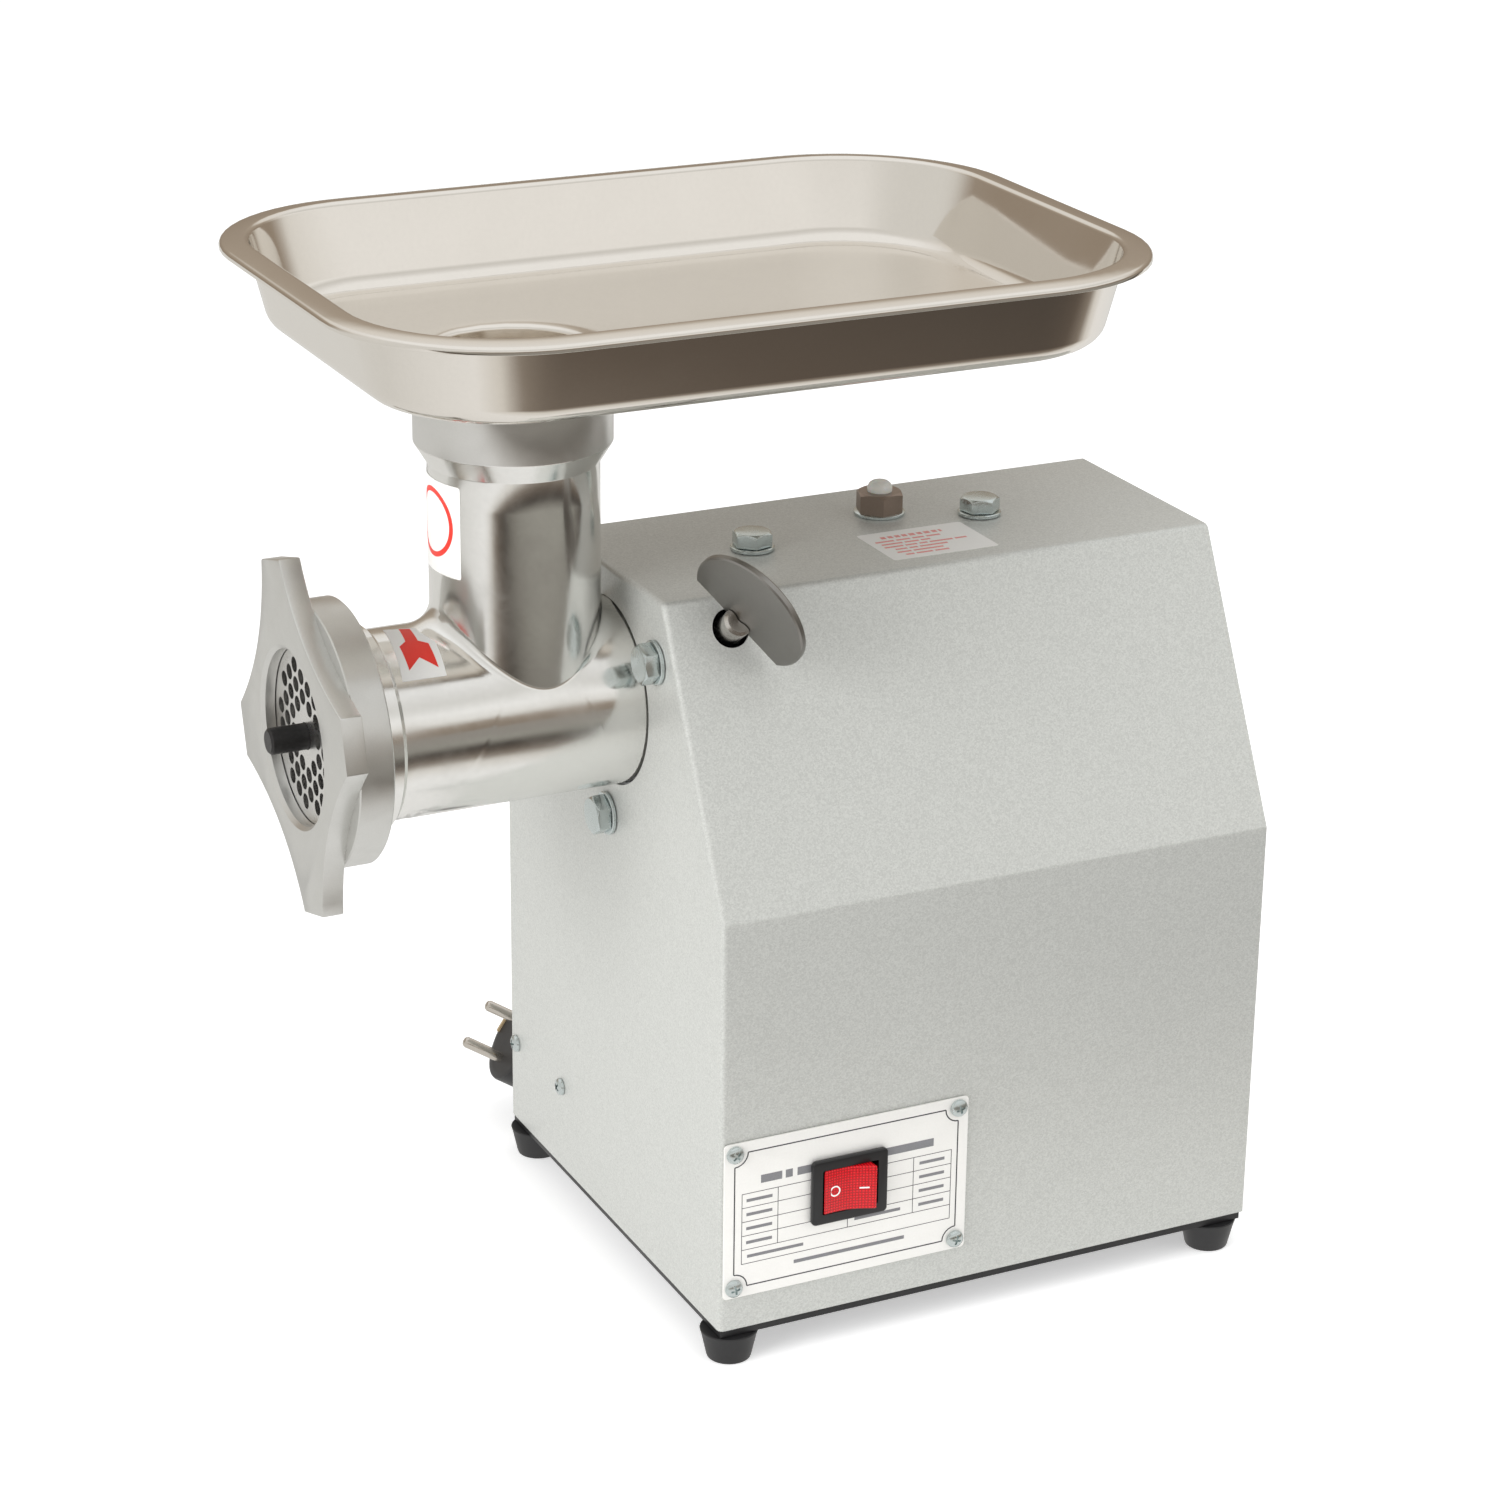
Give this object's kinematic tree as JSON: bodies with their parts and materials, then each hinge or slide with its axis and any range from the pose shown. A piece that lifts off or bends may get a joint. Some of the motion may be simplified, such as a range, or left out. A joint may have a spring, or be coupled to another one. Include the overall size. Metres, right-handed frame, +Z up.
{
  "type": "electric meat grinder",
  "caption": "Countertop electric meat grinder: grey sheet-metal housing, geared motor, cast head with screw auger, knife, perforated plate and ring nut, steel feed tray, rocker switch.",
  "frame": {"origin": "centre of the machine's footprint box on the surface it stands on", "axes": "+X from the grinding head to the rear along the auger, -Y the switch side, +Z up"},
  "size_m": [0.4737, 0.336, 0.4191],
  "materials": {
    "paint": "light silver-grey speckled metallic paint, satin",
    "black_steel": "black painted sheet steel",
    "rubber": "moulded black rubber",
    "cast_case": "as-cast aluminium",
    "steel": "machined steel",
    "winding": "varnished copper winding and laminations",
    "plastic": "black moulded plastic",
    "zinc": "blue-white zinc plate",
    "bronze": "dark bronze",
    "milky": "milky translucent plastic",
    "plate_face": "satin printed aluminium plate",
    "red": "red translucent plastic with moulded dots",
    "cast": "tumbled and part-polished cast aluminium",
    "stainless": "mirror-polished stainless steel",
    "cord_rubber": "black flexible PVC"
  },
  "bodies": {
    "housing": {"housing_shell": "paint", "rear_cover": "paint", "base_plate": "black_steel", "foot_front_switch_side": "rubber", "foot_front_far_side": "rubber", "foot_rear_switch_side": "rubber", "foot_rear_far_side": "rubber", "gearbox_case": "cast_case", "gearbox_cover": "cast_case", "motor_shell": "cast_case", "motor_end_bell": "cast_case", "output_bearing_front": "steel", "output_bearing_rear": "steel", "motor_stator": "winding", "run_capacitor": "plastic", "switch_body": "plastic", "flange_bolt_1": "zinc", "flange_bolt_2": "zinc", "flange_bolt_3": "zinc", "flange_washer_1": "zinc", "flange_washer_2": "zinc", "flange_washer_3": "zinc", "top_bolt_front": "zinc", "top_washer_front": "zinc", "top_bolt_rear": "zinc", "top_washer_rear": "zinc", "front_screw_1": "zinc", "front_screw_2": "zinc", "rear_screw_1": "zinc", "rear_screw_2": "zinc", "rear_screw_3": "zinc", "rear_screw_4": "zinc", "nameplate_screw_1": "zinc", "nameplate_screw_2": "zinc", "nameplate_screw_3": "zinc", "nameplate_screw_4": "zinc", "nameplate": "plate_face", "cord_gland": "cord_rubber", "cord_lead": "cord_rubber", "cord_tail": "cord_rubber", "cord_coil": "cord_rubber", "mains_plug": "cord_rubber"},
    "output_drive": {"output_shaft": "steel", "output_gear": "steel"},
    "layshaft": {"layshaft_pinion": "steel", "layshaft_gear": "steel"},
    "rotor": {"motor_rotor": "steel", "motor_pinion": "steel", "motor_fan": "plastic"},
    "head": {"grinder_head": "cast", "hole_plate": "stainless"},
    "auger": {"auger": "cast", "knife": "steel"},
    "ring_nut": {"ring_nut": "cast"},
    "tray": {"feed_tray": "stainless"},
    "lock_screw": {"lock_screw": "steel", "lock_disc": "steel"},
    "rocker": {"switch_rocker": "red"},
    "vent_cap": {"vent_plug": "bronze", "vent_cap": "milky"}
  },
  "joints": [
    {"name": "output_spin", "type": "hinge", "parent": "housing", "child": "output_drive", "pos_m": [0.04925, 0, 0.2447], "axis": [1, 0, 0], "continuous": true},
    {"name": "layshaft_spin", "type": "hinge", "parent": "housing", "child": "layshaft", "pos_m": [0.04925, 0, 0.1922], "axis": [1, 0, 0], "continuous": true},
    {"name": "rotor_spin", "type": "hinge", "parent": "housing", "child": "rotor", "pos_m": [0.00925, 0, 0.14408], "axis": [1, 0, 0], "continuous": true},
    {"name": "head_withdraw", "type": "slide", "parent": "housing", "child": "head", "axis": [-1, 0, 0], "range_m": [0, 0.12]},
    {"name": "auger_spin", "type": "hinge", "parent": "head", "child": "auger", "pos_m": [-0.09075, 0, 0.2447], "axis": [1, 0, 0], "continuous": true},
    {"name": "nut_turn", "type": "hinge", "parent": "head", "child": "ring_nut", "pos_m": [-0.17075, 0, 0.2447], "axis": [1, 0, 0], "range_deg": [0, 810]},
    {"name": "tray_lift", "type": "slide", "parent": "head", "child": "tray", "axis": [0, 0, 1], "range_m": [0, 0.15]},
    {"name": "lock_turn", "type": "hinge", "parent": "housing", "child": "lock_screw", "pos_m": [-0.02505, -0.03261, 0.26787], "axis": [0, -0.8151, 0.5793], "range_deg": [0, 900]},
    {"name": "rocker_tilt", "type": "hinge", "parent": "housing", "child": "rocker", "pos_m": [0.00295, -0.104, 0.0687], "axis": [0, 0, 1], "range_deg": [0, 20]},
    {"name": "vent_turn", "type": "hinge", "parent": "housing", "child": "vent_cap", "pos_m": [0.07395, 0.0159, 0.3], "axis": [0, 0, 1], "range_deg": [0, 720]}
  ],
  "couplings": [
    {"joint": "layshaft_spin", "follows": "output_spin", "ratio": -2.5},
    {"joint": "rotor_spin", "follows": "output_spin", "ratio": 7.3214},
    {"joint": "auger_spin", "follows": "output_spin", "ratio": 1}
  ]
}
